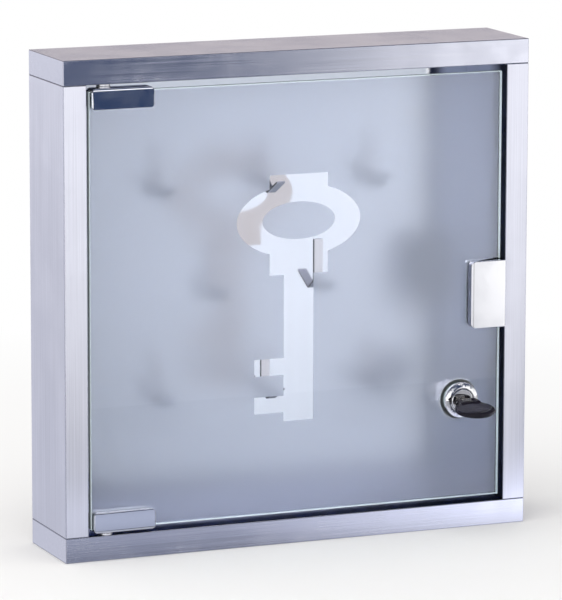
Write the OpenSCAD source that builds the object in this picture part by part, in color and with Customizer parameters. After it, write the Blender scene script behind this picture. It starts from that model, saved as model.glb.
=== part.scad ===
// Key cabinet with a lockable frosted glass door in a frame of brushed steel.
// X runs to the right, Y to the back and Z up. The origin is the middle of the
// cabinet's underside. The door is modelled shut and unlocked, with the key in.

/* [Cabinet] */
// Outer width of the cabinet
cab_w = 300; // [280:1:380]
// Outer height of the cabinet
cab_h = 300; // [290:1:380]
// Depth of the frame, without the handle and the key
cab_d = 60; // [58:1:90]
// Height of the top and bottom rails
rail_h = 15; // [12:0.5:20]
// Width of the side stiles, seen from the front
stile_w = 14.4; // [12:0.2:18]
// Thickness of the folded steel sheet
sheet_t = 1; // [0.8:0.1:1.5]
// Distance that the back panel is set in from the rear
back_inset = 2; // [1.5:0.5:5]
// Distance between the wall screw holes, across and up
wall_pitch = 200; // [120:10:220]
// Diameter of the wall screw holes
wall_hole_d = 5.5; // [4:0.5:8]

/* [Key hooks] */
// Width of the strip that a hook is bent from
hook_w = 5.6; // [4:0.2:8]
// Thickness of the strip
hook_t = 1.2; // [0.8:0.1:2]
// Distance from the back panel to the tip of a hook
hook_reach = 25; // [20:1:27]
// Length of the upright leg that is welded to the back panel
hook_leg = 26; // [16:1:34]
// Drop from the leg's lower end to the bottom of the crook
hook_drop = 5.5; // [3:0.5:8]
// Height of the tip above the leg's lower end
hook_rise = 3; // [1:0.5:6]
// Sideways distance between the hooks of one row
hook_pitch_x = 70; // [50:1:80]
// Distance between the three rows
hook_pitch_z = 63.6; // [45:0.2:70]
// Height of the tips in the middle row
hook_mid_z = 152.4; // [140:0.2:160]

/* [Glass door] */
// Thickness of the glass
glass_t = 4; // [4:0.2:5]
// Gap between the glass and the stile on the hinge side
gap_hinge = 1.4; // [1.4:0.1:2.4]
// Gap between the glass and the stile on the lock side
gap_lock = 3.4; // [3:0.1:5]
// Gap above and below the glass
gap_v = 4; // [4:0.1:5]
// Thickness of the frosted film on the back of the glass
film_t = 0.12; // [0.1:0.01:0.2]
// Clear border of the glass round the film
film_border = 1; // [0.5:0.5:4]

/* [Key figure left clear in the film] */
// Height of the middle of the bow
fig_z = 197; // [180:1:205]
// Width of the bow
bow_w = 80.2; // [60:0.2:90]
// Height of the bow
bow_h = 44.4; // [36:0.2:50]
// Width of the frosted eye in the bow
eye_w = 46.8; // [30:0.2:50]
// Height of the frosted eye in the bow
eye_h = 22.7; // [14:0.1:26]
// Width of the collar behind the bow
collar_w = 37.8; // [30:0.2:40]
// Height of the collar's top edge above the middle of the bow
collar_up = 28; // [24:0.5:34]
// Depth of the collar's bottom edge below the middle of the bow
collar_down = 32.5; // [28:0.5:40]
// Width of the shaft
shaft_w = 19.4; // [14:0.2:24]
// Depth of the shaft's end below the middle of the bow
shaft_down = 122; // [100:1:130]
// Length of the two teeth
tooth_l = 19; // [10:0.5:26]
// Height of one tooth
tooth_h = 10.3; // [6:0.1:12]
// Distance from the shaft's end to the lower tooth
tooth_end = 5.5; // [2:0.5:10]
// Distance from one tooth to the same edge of the next
tooth_pitch = 23; // [16:0.5:30]

/* [Pivot hinges] */
// Distance from the hinge-side stile to the pivot axis
pivot_in = 12.1; // [12:0.1:14]
// Distance from the front of the frame to the pivot axis
pivot_back = 4.4; // [4.3:0.1:4.6]
// Diameter of the pivot pins
pin_d = 3; // [2.6:0.1:3.2]
// Diameter of the washers and of the bush flanges
disc_d = 8.4; // [7:0.1:8.6]
// Length of a hinge clamp along the edge of the glass
clamp_l = 39; // [30:1:50]
// Height of a hinge clamp, with its web
clamp_h = 12.8; // [11:0.1:16]
// Thickness of the clamp's web and of the gap left for the discs
clamp_web = 2; // [2:0.1:2.4]

/* [Handle clip] */
// Width of the handle
handle_w = 23.8; // [20:0.2:30]
// Height of the handle
handle_h = 41.2; // [34:0.2:46]
// Distance that the handle stands proud of the glass
handle_proud = 6; // [4:0.2:8]
// Height of the middle of the handle
handle_z = 145.2; // [140:0.2:150]

/* [Cam lock and key] */
// Distance from the glass's free edge to the lock's axis
lock_in = 25.9; // [25:0.1:28]
// Height of the lock's axis
lock_z = 80; // [70:1:90]
// Diameter of the lock's bezel
bezel_d = 22; // [21.6:0.1:24]
// Length of the cam, from the lock's axis to its tip
cam_l = 34.5; // [33:0.1:36]
// Width of the cam
cam_w = 12; // [10:0.2:12]
// Distance that each wafer drops when the key is pulled out
wafer_drop = 0.9; // [0.6:0.1:1]
// Width of the key's head
head_w = 25; // [22:0.5:28]
// Length of the key's head
head_l = 20.5; // [18:0.5:24]
// Thickness of the key's head
head_t = 4.6; // [4:0.1:5]
// Angle at which the folding head hangs below the blade
head_droop = 11; // [0:1:20]

/* [Hidden] */
$fn = 64;

over = 1;                                // extra length of a cutting tool
press = 0.02;                            // radial play of a press or thread fit
run = 0.05;                              // radial play of a running fit

front_y = -cab_d / 2;
rear_y = cab_d / 2;
panel_y = rear_y - back_inset - sheet_t; // front face of the back panel
inner_x = cab_w / 2 - stile_w;           // inner face of either stile
inner_z = cab_h - rail_h;                // underside of the top rail

glass_lo = [-inner_x + gap_hinge, rail_h + gap_v];
glass_hi = [inner_x - gap_lock, inner_z - gap_v];
glass_y = front_y + glass_t;             // back face of the glass
film_y = glass_y + film_t;

pad_t = 0.5;                             // front pads; the rear ones are thicker
rear_pad_t = 0.6;
jaw_y = film_y + rear_pad_t;             // where the rear jaws begin

pivot = [-inner_x + pivot_in, front_y + pivot_back];
hinge_z = rail_h + gap_v - clamp_web;    // lower face of the bottom clamp
washer_t = 0.8;
flange_t = gap_v - clamp_web - washer_t - 0.2;
bush_r = 2.8;
bush_l = 6;
pin_r = pin_d / 2;
clamp_x = [glass_lo.x + 1, glass_lo.x + 1 + clamp_l];
clamp_y = [front_y - 3, jaw_y + 3];
clamp_screw_x = [clamp_x[0] + 10, clamp_x[1] - 9];
clamp_screw_z = 7.6;                     // above the clamp's web
grub_r = 2;
grub_l = 3.2;

handle_x = [glass_hi.x + 2 - handle_w, glass_hi.x + 2];
handle_y = [front_y - handle_proud, jaw_y + 2.5];
handle_span = [handle_z - handle_h / 2, handle_z + handle_h / 2];
handle_web = 1.6;
handle_screw_x = handle_x[0] + 8;
handle_screw_dz = 12;

lock_x = glass_hi.x - lock_in;
barrel_r = 9.5;
bezel_y = front_y - 3.2;                 // front of the bezel
seat_y = front_y - pad_t;                // where the bezel meets its gasket
barrel_y = front_y + 20;                 // rear end of the barrel
plug_r = 6;
plug_head_r = 7;
plug_step_y = front_y - 1.6;
plug_y = barrel_y + run;                 // rear shoulder of the plug
cam_t = 2;
cam_y = barrel_y + 0.1;
tail = 3;                                // half the width of the plug's square tail
hub_r = 7.2;
cam_screw_r = 1.6;
stop_w = 7;                              // half the width of the block that stops the cam
wafer_r = plug_r - 0.1;                  // the wafers end flush with the plug
wafer_t = 1;
wafer_h = 2.6;                           // half the height of a wafer
wafer_first_y = front_y + 0.7;
wafer_pitch = 2.8;
wafer_count = 5;

blade = [3.5, 0.9];                      // half width, half thickness
blade_tip_y = front_y + 13.6;
key_pin_y = bezel_y - 5.2;               // axis of the key's own hinge
key_pin_r = 0.8;
eye_r = 2.1;
lug_in = 3.2;
lug_out = 6.6;

catch_lo = [inner_x - 11, front_y + 10, handle_z - 20];
catch_hi = [inner_x, front_y + 24, handle_z + 20];
catch_screw_y = front_y + 18;
catch_screw_dz = 16.5;
catch_screw_r = 1.6;
pole_x = [catch_lo.x + 3.2, catch_lo.x + 6.8];
pole_t = 1.2;
pole_h = 22;
magnet_depth = 9;

slot_y = [cam_y - 1.5, cam_y + cam_t + 1.5];
slot_z = [lock_z - cam_w / 2 - 0.8, lock_z + 20.5];

steel = [0.78, 0.78, 0.82];
polished = [0.62, 0.65, 0.72];
chrome = [0.88, 0.88, 0.92];
zinc = [0.66, 0.66, 0.68];
frost = [0.74, 0.79, 0.88, 0.75];
clear = [0.72, 0.84, 0.82, 0.35];
black = [0.06, 0.06, 0.07];
nylon = [0.9, 0.9, 0.88];
grey = [0.35, 0.36, 0.38];
brass = [0.78, 0.66, 0.38];

// A block between two corners
module box(lo, hi) {
    translate(lo) cube(hi - lo);
}

// Round bars along each axis
module rod_x(r, x0, x1) {
    translate([x0, 0, 0]) rotate([0, 90, 0]) cylinder(r = r, h = x1 - x0);
}

module rod_y(r, y0, y1) {
    translate([0, y1, 0]) rotate([90, 0, 0]) cylinder(r = r, h = y1 - y0);
}

module rod_z(r, z0, z1) {
    translate([0, 0, z0]) cylinder(r = r, h = z1 - z0);
}

// Outlines drawn in the side, front and top views, given their thickness
module slab_x(x0, x1) {
    translate([x0, 0, 0]) rotate([90, 0, 90]) linear_extrude(x1 - x0) children();
}

module slab_y(y0, y1) {
    translate([0, y1, 0]) rotate([90, 0, 0]) linear_extrude(y1 - y0) children();
}

module slab_z(z0, z1) {
    translate([0, 0, z0]) linear_extrude(z1 - z0) children();
}

// A turned piece whose axis is Y, from points of radius and depth
module turned_y(points) {
    rotate([-90, 0, 0]) rotate_extrude() polygon(points);
}

// A rectangle whose four corners have their own radii, anticlockwise
module corner_rect(lo, hi, r) {
    corner = [lo, [hi.x, lo.y], hi, [lo.x, hi.y]];
    difference() {
        translate(lo) square(hi - lo);
        for (i = [0:3]) {
            translate(corner[i]) rotate(90 * i) difference() {
                translate([-over, -over]) square(r[i] + over);
                translate([r[i], r[i]]) circle(r[i]);
            }
        }
    }
}

// An ellipse with its two half axes
module oval(a, b, steps = 72) {
    polygon([for (i = [0:steps - 1]) [a * cos(360 * i / steps), b * sin(360 * i / steps)]]);
}

// A flat bar between two points of a bent strip, with round ends
module strip(a, b, t) {
    d = b - a;
    translate(a) rotate(atan2(d.y, d.x)) translate([0, -t / 2]) square([norm(d), t]);
    translate(a) circle(d = t);
    translate(b) circle(d = t);
}

// Turns a piece made for the bottom of the door into one for the top
module at_top() {
    translate([0, 0, cab_h]) mirror([0, 0, 1]) children();
}

module at_pivot() {
    translate([pivot.x, pivot.y, 0]) children();
}

module at_lock() {
    translate([lock_x, 0, lock_z]) children();
}

// Frame: closed rails above and below, open tubes up the sides

module rail() {
    difference() {
        box([-cab_w / 2, front_y, 0], [cab_w / 2, rear_y, rail_h]);
        box([-cab_w / 2 + sheet_t, front_y + sheet_t, sheet_t],
            [cab_w / 2 - sheet_t, rear_y - sheet_t, rail_h - sheet_t]);
        at_pivot() rod_z(bush_r + press, rail_h - sheet_t - over, rail_h + over);
    }
}

module bottom_rail() {
    color(steel) rail();
}

module top_rail() {
    color(steel) at_top() rail();
}

module stile(x0, x1) {
    difference() {
        box([x0, front_y, rail_h], [x1, rear_y, inner_z]);
        box([x0 + sheet_t, front_y + sheet_t, rail_h - over],
            [x1 - sheet_t, rear_y - sheet_t, inner_z + over]);
    }
}

module left_stile() {
    color(steel) stile(-cab_w / 2, -inner_x);
}

// The lock-side stile has a slot for the cam and holes for the catch's screws
module right_stile() {
    color(steel) difference() {
        stile(inner_x, cab_w / 2);
        box([inner_x - over, slot_y[0], slot_z[0]],
            [inner_x + sheet_t + over, slot_y[1], slot_z[1]]);
        at_catch_screws() rod_x(catch_screw_r + press, inner_x - over, inner_x + sheet_t + over);
    }
}

// A shallow tray that closes the back, with its rim turned to the rear
module back_panel() {
    half = [inner_x, (inner_z - rail_h) / 2];
    color(steel) difference() {
        box([-half.x, panel_y, rail_h], [half.x, rear_y, inner_z]);
        box([-half.x + sheet_t, panel_y + sheet_t, rail_h + sheet_t],
            [half.x - sheet_t, rear_y + over, inner_z - sheet_t]);
        for (sx = [-1, 1]) {
            for (sz = [-1, 1]) {
                translate([sx * wall_pitch / 2, 0, cab_h / 2 + sz * wall_pitch / 2])
                    rod_y(wall_hole_d / 2, panel_y - over, rear_y + over);
            }
        }
    }
}

// Key hooks: three rows, the middle one staggered

// Sideways place and row of each hook
hook_place = [
    [-1, 1], [0, 1], [1, 1],
    [-0.5, 0], [0.5, 0],
    [-1, -1], [0, -1], [1, -1]
];

module key_hook(i) {
    at = hook_place[i];
    x = at.x * hook_pitch_x;
    z = hook_mid_z + at.y * hook_pitch_z - hook_rise;
    back = panel_y - hook_t / 2;
    crook = [panel_y - 9, z - hook_drop];
    tip = [panel_y - hook_reach, z + hook_rise];
    path = [[back, z + hook_leg], [back, z], crook, tip];
    color(polished) slab_x(x - hook_w / 2, x + hook_w / 2) {
        for (k = [0:2]) {
            strip(path[k], path[k + 1], hook_t);
        }
    }
}

// Pivots: a flanged bush in each rail, a pin and a washer on each clamp

module pivot_bush() {
    at_pivot() difference() {
        union() {
            rod_z(disc_d / 2, rail_h, rail_h + flange_t);
            rod_z(bush_r, rail_h - bush_l, rail_h + flange_t);
        }
        rod_z(pin_r + run, rail_h - bush_l - over, rail_h + flange_t + over);
    }
}

module bottom_pivot_bush() {
    color(chrome) pivot_bush();
}

module top_pivot_bush() {
    color(chrome) at_top() pivot_bush();
}

module pivot_pin() {
    at_pivot() rod_z(pin_r, rail_h - bush_l + 0.5, hinge_z + clamp_web);
}

module bottom_pivot_pin() {
    color(zinc) pivot_pin();
}

module top_pivot_pin() {
    color(zinc) at_top() pivot_pin();
}

module pivot_washer() {
    at_pivot() difference() {
        rod_z(disc_d / 2, hinge_z - washer_t, hinge_z);
        rod_z(pin_r + 0.1, hinge_z - washer_t - over, hinge_z + over);
    }
}

module pivot_washers() {
    color(chrome) {
        pivot_washer();
        at_top() pivot_washer();
    }
}

// Glass and its frosted film, with a key figure left clear

module glass_pane() {
    color(clear) difference() {
        box([glass_lo.x, front_y, glass_lo.y], [glass_hi.x, glass_y, glass_hi.y]);
        at_lock() rod_y(barrel_r + 0.25, front_y - over, glass_y + over);
    }
}

module key_figure() {
    translate([0, fig_z]) {
        difference() {
            union() {
                oval(bow_w / 2, bow_h / 2);
                translate([-collar_w / 2, -collar_down]) square([collar_w, collar_down + collar_up]);
            }
            oval(eye_w / 2, eye_h / 2);
        }
        translate([-shaft_w / 2, -shaft_down]) square([shaft_w, shaft_down - collar_down + over]);
        for (k = [0, 1]) {
            translate([-shaft_w / 2 - tooth_l, -shaft_down + tooth_end + k * tooth_pitch])
                square([tooth_l + over, tooth_h]);
        }
    }
}

module frosted_film() {
    color(frost) difference() {
        slab_y(glass_y, film_y) difference() {
            translate(glass_lo + [film_border, film_border])
                square(glass_hi - glass_lo - 2 * [film_border, film_border]);
            key_figure();
        }
        at_lock() rod_y(barrel_r + 0.5, glass_y - over, film_y + over);
    }
}

// Hinge clamps: a bent steel channel that grips the glass between pads

module hinge_clamp() {
    difference() {
        intersection() {
            slab_x(clamp_x[0], clamp_x[1]) difference() {
                corner_rect([clamp_y[0], hinge_z], [clamp_y[1], hinge_z + clamp_h], [2, 2, 0.8, 0.8]);
                translate([seat_y, hinge_z + clamp_web]) square([jaw_y - seat_y, clamp_h]);
            }
            slab_y(clamp_y[0] - over, clamp_y[1] + over)
                corner_rect([clamp_x[0], hinge_z], [clamp_x[1], hinge_z + clamp_h], [0.8, 0.8, 2.5, 1.6]);
            slab_z(hinge_z - over, hinge_z + clamp_h + over)
                corner_rect([clamp_x[0], clamp_y[0]], [clamp_x[1], clamp_y[1]], [0.8, 0.4, 0.4, 0.4]);
        }
        at_pivot() rod_z(pin_r + press, hinge_z - over, hinge_z + clamp_web + over);
        at_hinge_screws() rod_y(grub_r, jaw_y - over, clamp_y[1] + over);
    }
}

module at_hinge_screws() {
    for (x = clamp_screw_x) {
        translate([x, 0, hinge_z + clamp_screw_z]) children();
    }
}

module bottom_hinge_clamp() {
    color(polished) hinge_clamp();
}

module top_hinge_clamp() {
    color(polished) at_top() hinge_clamp();
}

// The front and the rear pad of one clamp
module hinge_pad_pair() {
    lo = [clamp_x[0] + 1, glass_lo.y];
    hi = [clamp_x[1] - 1, hinge_z + clamp_h - 1];
    slab_y(seat_y, front_y) corner_rect(lo, hi, [0.4, 0.4, 1.6, 1]);
    slab_y(film_y, jaw_y) corner_rect(lo + [0, film_border], hi, [0.4, 0.4, 1.6, 1]);
}

module hinge_pads() {
    color(grey) {
        hinge_pad_pair();
        at_top() hinge_pad_pair();
    }
}

// A headless screw with a hexagon socket at its rear end
module grub_screw() {
    difference() {
        rod_y(grub_r - press, jaw_y, jaw_y + grub_l);
        translate([0, jaw_y + grub_l + over, 0]) rotate([90, 0, 0])
            cylinder(r = 1.15, h = 1.8 + over, $fn = 6);
    }
}

module hinge_grub_screws() {
    color(zinc) {
        at_hinge_screws() grub_screw();
        at_top() at_hinge_screws() grub_screw();
    }
}

// Handle: a thick clip pushed over the free edge of the glass

module at_handle_screws() {
    for (sz = [-1, 1]) {
        translate([handle_screw_x, 0, handle_z + sz * handle_screw_dz]) children();
    }
}

module handle_clip() {
    color(chrome) difference() {
        intersection() {
            slab_z(handle_span[0], handle_span[1]) difference() {
                corner_rect([handle_x[0], handle_y[0]], [handle_x[1], handle_y[1]], [0.8, 1.8, 1.4, 0.8]);
                translate([handle_x[0] - over, seat_y])
                    square([handle_w - handle_web + over, jaw_y - seat_y]);
            }
            slab_y(handle_y[0] - over, handle_y[1] + over)
                corner_rect([handle_x[0], handle_span[0]], [handle_x[1], handle_span[1]], [3, 1, 1, 3]);
        }
        at_handle_screws() rod_y(grub_r, jaw_y - over, handle_y[1] + over);
    }
}

module handle_pads() {
    lo = [handle_x[0] + 1, handle_span[0] + 1];
    hi = [glass_hi.x - film_border, handle_span[1] - 1];
    color(grey) {
        slab_y(seat_y, front_y) corner_rect(lo, hi, [2, 0.5, 0.5, 2]);
        slab_y(film_y, jaw_y) corner_rect(lo, hi, [2, 0.5, 0.5, 2]);
    }
}

module handle_grub_screws() {
    color(zinc) at_handle_screws() grub_screw();
}

// Cam lock: a barrel through the glass, held by a nut

module lock_body() {
    bezel_r = bezel_d / 2;
    rim_r = plug_head_r + 0.1;
    groove = [plug_r + 1.6, wafer_h + 0.3];
    groove_y = [wafer_first_y - 1, wafer_first_y + (wafer_count - 1) * wafer_pitch + 1];
    color(chrome) at_lock() {
        difference() {
            turned_y([
                [rim_r, bezel_y + 0.3], [rim_r + 0.4, bezel_y], [rim_r + 1.1, bezel_y],
                [bezel_r - 0.4, bezel_y + 1], [bezel_r, bezel_y + 1.6], [bezel_r, seat_y],
                [barrel_r, seat_y], [barrel_r, barrel_y], [plug_r + run, barrel_y],
                [plug_r + run, plug_step_y], [rim_r, plug_step_y]
            ]);
            for (sz = [0, 180]) {
                rotate([0, sz, 0]) box([-barrel_r - over, seat_y, barrel_r - 1.2],
                    [barrel_r + over, barrel_y + over, barrel_r + over]);
            }
            box([-groove.x, groove_y[0], -groove.y], [groove.x, groove_y[1], groove.y]);
        }
        cam_stop();
    }
}

// The block under the cam that ends its half turn at either side
module cam_stop() {
    difference() {
        intersection() {
            rod_y(barrel_r, barrel_y - 0.5, barrel_y + 1.7);
            box([-stop_w, barrel_y - over, 1.2 - barrel_r], [stop_w, barrel_y + 2, -cam_w / 2 - 0.3]);
        }
        rod_y(hub_r + 0.15, barrel_y - over, barrel_y + 2);
    }
}

module lock_gasket() {
    color(black) at_lock() difference() {
        rod_y(bezel_d / 2 - 0.3, seat_y, front_y);
        rod_y(barrel_r + 0.1, seat_y - over, front_y + over);
    }
}

module lock_washer() {
    color(nylon) at_lock() difference() {
        rod_y(12.5, film_y, film_y + 1);
        rod_y(barrel_r + 0.1, film_y - over, film_y + 1 + over);
    }
}

module lock_nut() {
    nut_y = film_y + 1;
    nut_t = 4;
    flats = 24;
    color(zinc) at_lock() difference() {
        translate([0, nut_y + nut_t, 0]) rotate([90, 0, 0])
            cylinder(r = flats / sqrt(3), h = nut_t, $fn = 6);
        rod_y(barrel_r + press, nut_y - over, nut_y + nut_t + over);
    }
}

// Each wafer's place along the plug
function wafer_y(i) = wafer_first_y + i * wafer_pitch;

module lock_plug() {
    keyway = blade + [0.3, 0.25];
    color(chrome) at_lock() difference() {
        union() {
            turned_y([
                [0, bezel_y - 0.3], [plug_head_r - 0.4, bezel_y - 0.3], [plug_head_r, bezel_y + 0.1],
                [plug_head_r, plug_step_y - run], [plug_r, plug_step_y - run], [plug_r, plug_y], [0, plug_y]
            ]);
            box([-tail, plug_y - over, -tail], [tail, cam_y + cam_t - 0.1, tail]);
        }
        box([-keyway[0], bezel_y - over, -keyway[1]], [keyway[0], blade_tip_y + 0.9, keyway[1]]);
        for (i = [0:wafer_count - 1]) {
            translate([0, wafer_y(i), 0]) box([-plug_r - over, -wafer_t / 2 - run, -wafer_h - 0.1],
                [plug_r + over, wafer_t / 2 + run, wafer_h + 0.1]);
        }
        rod_y(cam_screw_r + press, plug_y - 4.5, cam_y + cam_t + over);
    }
}

// Flat wafers with a window for the blade; the key holds them inside the plug
module lock_wafers() {
    window = [-blade[0] - wafer_drop - 0.2, blade[0] + 0.1];
    color(brass) at_lock() {
        for (i = [0:wafer_count - 1]) {
            translate([0, wafer_y(i), 0]) difference() {
                intersection() {
                    rod_y(wafer_r, -wafer_t / 2, wafer_t / 2);
                    box([-plug_r, -wafer_t, -wafer_h], [plug_r, wafer_t, wafer_h]);
                }
                box([window[0], -wafer_t, -blade[1] - 0.2], [window[1], wafer_t, blade[1] + 0.2]);
            }
        }
    }
}

// The cam points away from the stile while the lock is open
module lock_cam() {
    color(zinc) at_lock() slab_y(cam_y, cam_y + cam_t) difference() {
        union() {
            circle(hub_r);
            corner_rect([-cam_l, -cam_w / 2], [0, cam_w / 2], [2, 0, 0, 2]);
        }
        translate([-tail - run, -tail - run]) square(2 * (tail + run));
    }
}

module cam_washer() {
    y = cam_y + cam_t;
    color(zinc) at_lock() difference() {
        rod_y(5, y, y + 0.8);
        rod_y(cam_screw_r + 0.15, y - over, y + 0.8 + over);
    }
}

module cam_screw() {
    y = cam_y + cam_t + 0.8;
    color(zinc) at_lock() difference() {
        union() {
            rod_y(cam_screw_r, plug_y - 4, y);
            turned_y([[0, y], [3.4, y], [3.4, y + 1.4], [2.8, y + 2.2], [0, y + 2.2]]);
        }
        cross_slot(y + 2.2);
    }
}

// The cross in a screw's head, cut from the given depth forwards
module cross_slot(y) {
    box([-1.9, y - 1.2, -0.4], [1.9, y + over, 0.4]);
    box([-0.4, y - 1.2, -1.9], [0.4, y + over, 1.9]);
}

// Folding key: a flat blade with an eye, a pin and a moulded head

module at_key_pin() {
    translate([lock_x, key_pin_y, lock_z]) children();
}

module key_blade() {
    w = blade[0];
    root_y = bezel_y - 0.4;
    color(brass) {
        at_lock() difference() {
            slab_z(-blade[1], blade[1]) polygon([
                [-w, root_y], [w, root_y], [w, blade_tip_y - 2], [1, blade_tip_y],
                [-1, blade_tip_y], [-w, blade_tip_y - 2]
            ]);
            for (i = [0:wafer_count - 2]) {
                translate([-w, wafer_y(i) + wafer_pitch / 2, 0]) rotate([0, 0, 45])
                    cube([1.3, 1.3, 4 * blade[1]], center = true);
            }
        }
        at_lock() box([-w - 1.1, root_y - 2, -blade[1]], [w + 1.1, root_y, blade[1]]);
        at_key_pin() difference() {
            union() {
                rod_x(eye_r, -lug_in + 0.3, lug_in - 0.3);
                box([-lug_in + 0.3, 0, -blade[1]], [lug_in - 0.3, root_y - key_pin_y - over, blade[1]]);
            }
            rod_x(key_pin_r + press, -lug_in, lug_in);
        }
    }
}

module key_hinge_pin() {
    color(zinc) at_key_pin() rod_x(key_pin_r, -lug_out + 0.4, lug_out - 0.4);
}

// Outline of the head in the blade's plane: two flanks and rounded ends
module head_outline() {
    flank_r = 15;
    intersection() {
        translate([0, flank_r - head_l / 2]) circle(flank_r);
        translate([0, head_l / 2 - flank_r]) circle(flank_r);
        circle(head_w / 2);
    }
}

module key_head() {
    half = head_t / 2;
    lug_half = half - 0.1;
    color(black) at_key_pin() rotate([head_droop, 0, 0]) difference() {
        union() {
            translate([0, -2.9 - head_l / 2, 0]) intersection() {
                slab_z(-half, half) head_outline();
                rotate_extrude() polygon([
                    [0, -half], [5, -half], [head_w / 2, 1 - half],
                    [head_w / 2, half - 1], [5, half], [0, half]
                ]);
            }
            rod_x(lug_half, -lug_out, lug_out);
            box([-lug_out, -7, -lug_half], [lug_out, 0, lug_half]);
        }
        box([-lug_in, -2.7, -head_t], [lug_in, head_t, head_t]);
        rod_x(key_pin_r + run, -lug_out - over, lug_out + over);
    }
}

// Magnetic catch on the lock-side stile, which holds the handle's rear jaw

module at_catch_screws() {
    for (sz = [-1, 1]) {
        translate([0, catch_screw_y, handle_z + sz * catch_screw_dz]) children();
    }
}

module catch_housing() {
    color(grey) difference() {
        slab_x(catch_lo.x, catch_hi.x)
            corner_rect([catch_lo.y, catch_lo.z], [catch_hi.y, catch_hi.z], [1, 3, 3, 1]);
        box([pole_x[0] - pole_t, catch_lo.y - over, handle_z - pole_h / 2],
            [pole_x[1] + pole_t, catch_lo.y + magnet_depth, handle_z + pole_h / 2]);
        at_catch_screws() {
            rod_x(catch_screw_r + 0.1, catch_lo.x - over, catch_hi.x + over);
            rod_x(3.2, catch_lo.x - over, catch_lo.x + 1.6);
        }
    }
}

module catch_magnet() {
    color(black) box([pole_x[0], catch_lo.y, handle_z - pole_h / 2],
        [pole_x[1], catch_lo.y + magnet_depth, handle_z + pole_h / 2]);
}

module catch_pole_plates() {
    tip_y = handle_y[1] + 0.3;
    color(zinc) {
        for (x = [pole_x[0] - pole_t, pole_x[1]]) {
            box([x, tip_y, handle_z - pole_h / 2],
                [x + pole_t, catch_lo.y + magnet_depth, handle_z + pole_h / 2]);
        }
    }
}

module catch_screws() {
    color(zinc) at_catch_screws() difference() {
        union() {
            rod_x(catch_screw_r, catch_lo.x, inner_x + 5);
            rod_x(2.9, catch_lo.x - 0.2, catch_lo.x + 1.6);
        }
        box([catch_lo.x - over, -0.4, -1.9], [catch_lo.x + 0.8, 0.4, 1.9]);
        box([catch_lo.x - over, -1.9, -0.4], [catch_lo.x + 0.8, 1.9, 0.4]);
    }
}

top_rail();
bottom_rail();
left_stile();
right_stile();
back_panel();
key_hook(0);  // key_hook_1
key_hook(1);  // key_hook_2
key_hook(2);  // key_hook_3
key_hook(3);  // key_hook_4
key_hook(4);  // key_hook_5
key_hook(5);  // key_hook_6
key_hook(6);  // key_hook_7
key_hook(7);  // key_hook_8
top_pivot_bush();
bottom_pivot_bush();
catch_housing();
catch_magnet();
catch_pole_plates();
catch_screws();
glass_pane();
frosted_film();
top_hinge_clamp();
bottom_hinge_clamp();
hinge_pads();
hinge_grub_screws();
top_pivot_pin();
bottom_pivot_pin();
pivot_washers();
handle_clip();
handle_pads();
handle_grub_screws();
lock_body();
lock_gasket();
lock_washer();
lock_nut();
lock_plug();
lock_wafers();
lock_cam();
cam_washer();
cam_screw();
key_blade();
key_hinge_pin();
key_head();
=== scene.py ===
"""Key cabinet in brushed steel with a hinged, frosted glass door.

Each operator dresses one piece, or one group of like pieces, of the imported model.
"""

import math

import bmesh
import bpy
from bpy.props import FloatProperty, FloatVectorProperty, IntProperty, PointerProperty
from mathutils import Matrix, Vector


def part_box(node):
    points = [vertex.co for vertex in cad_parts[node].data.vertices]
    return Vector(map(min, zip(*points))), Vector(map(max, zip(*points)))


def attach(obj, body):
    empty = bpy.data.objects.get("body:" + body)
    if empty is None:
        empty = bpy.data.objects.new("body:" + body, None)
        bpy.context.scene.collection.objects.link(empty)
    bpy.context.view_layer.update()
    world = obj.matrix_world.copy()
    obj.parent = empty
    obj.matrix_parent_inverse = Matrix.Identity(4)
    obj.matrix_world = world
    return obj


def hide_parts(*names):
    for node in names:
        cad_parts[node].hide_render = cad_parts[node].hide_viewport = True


bl_info = {
    "name": "Frosted Glass Key Cabinet",
    "version": (1, 0, 0),
    "blender": (4, 5, 0),
    "location": "View3D > Sidebar > Key Cabinet",
    "description": "Dresses a wall key cabinet with brushed steel, frosted glass and a cam lock",
    "category": "Object",
}

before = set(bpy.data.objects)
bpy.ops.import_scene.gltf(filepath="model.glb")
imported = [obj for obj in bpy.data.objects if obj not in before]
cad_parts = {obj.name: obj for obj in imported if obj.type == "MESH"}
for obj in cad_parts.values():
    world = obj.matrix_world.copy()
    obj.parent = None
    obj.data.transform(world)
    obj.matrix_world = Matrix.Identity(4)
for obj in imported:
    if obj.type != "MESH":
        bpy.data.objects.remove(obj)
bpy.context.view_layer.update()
MM = 0.001

WHITE = (1.0, 1.0, 1.0, 1.0)

# Cleaning and rounding
MERGE_DISTANCE = 2e-6
FLAT_DEGREES = 0.6
CORNER_STEPS = 6
PANEL_EDGE = 0.3 * MM
HOOK_EDGE = 0.2 * MM
SOFT_EDGE = 0.1 * MM
NYLON_EDGE = 0.15 * MM

# The middle of the frame's height, and the least distance from the middle of an inner face
MID_HEIGHT = 0.15
INNER_REACH = 0.1

# The hook's strip
HOOK_THICKNESS = 1.2 * MM
HOOK_LEG = 26 * MM
HOOK_CROOK = 9 * MM
HOOK_TIP_RISE = 3 * MM

# The camera, fitted to the photo; its turns are in degrees
CAMERA_PLACE = (-1.0393, -2.4952, 0.6305)
CAMERA_YAW, CAMERA_PITCH, CAMERA_ROLL = 22.613, 10.205, 0.121

# The overhead lamp
LAMP_PLACE = (-0.5, -0.4, 1.9)
LAMP_SIZE = 1.6

# The floor: half its width and depth, its middle's distance to the back, and its height
FLOOR_WIDTH, FLOOR_DEPTH, FLOOR_BACK, FLOOR_LEVEL = 1.6, 1.5, 1.05, -0.0002

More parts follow.
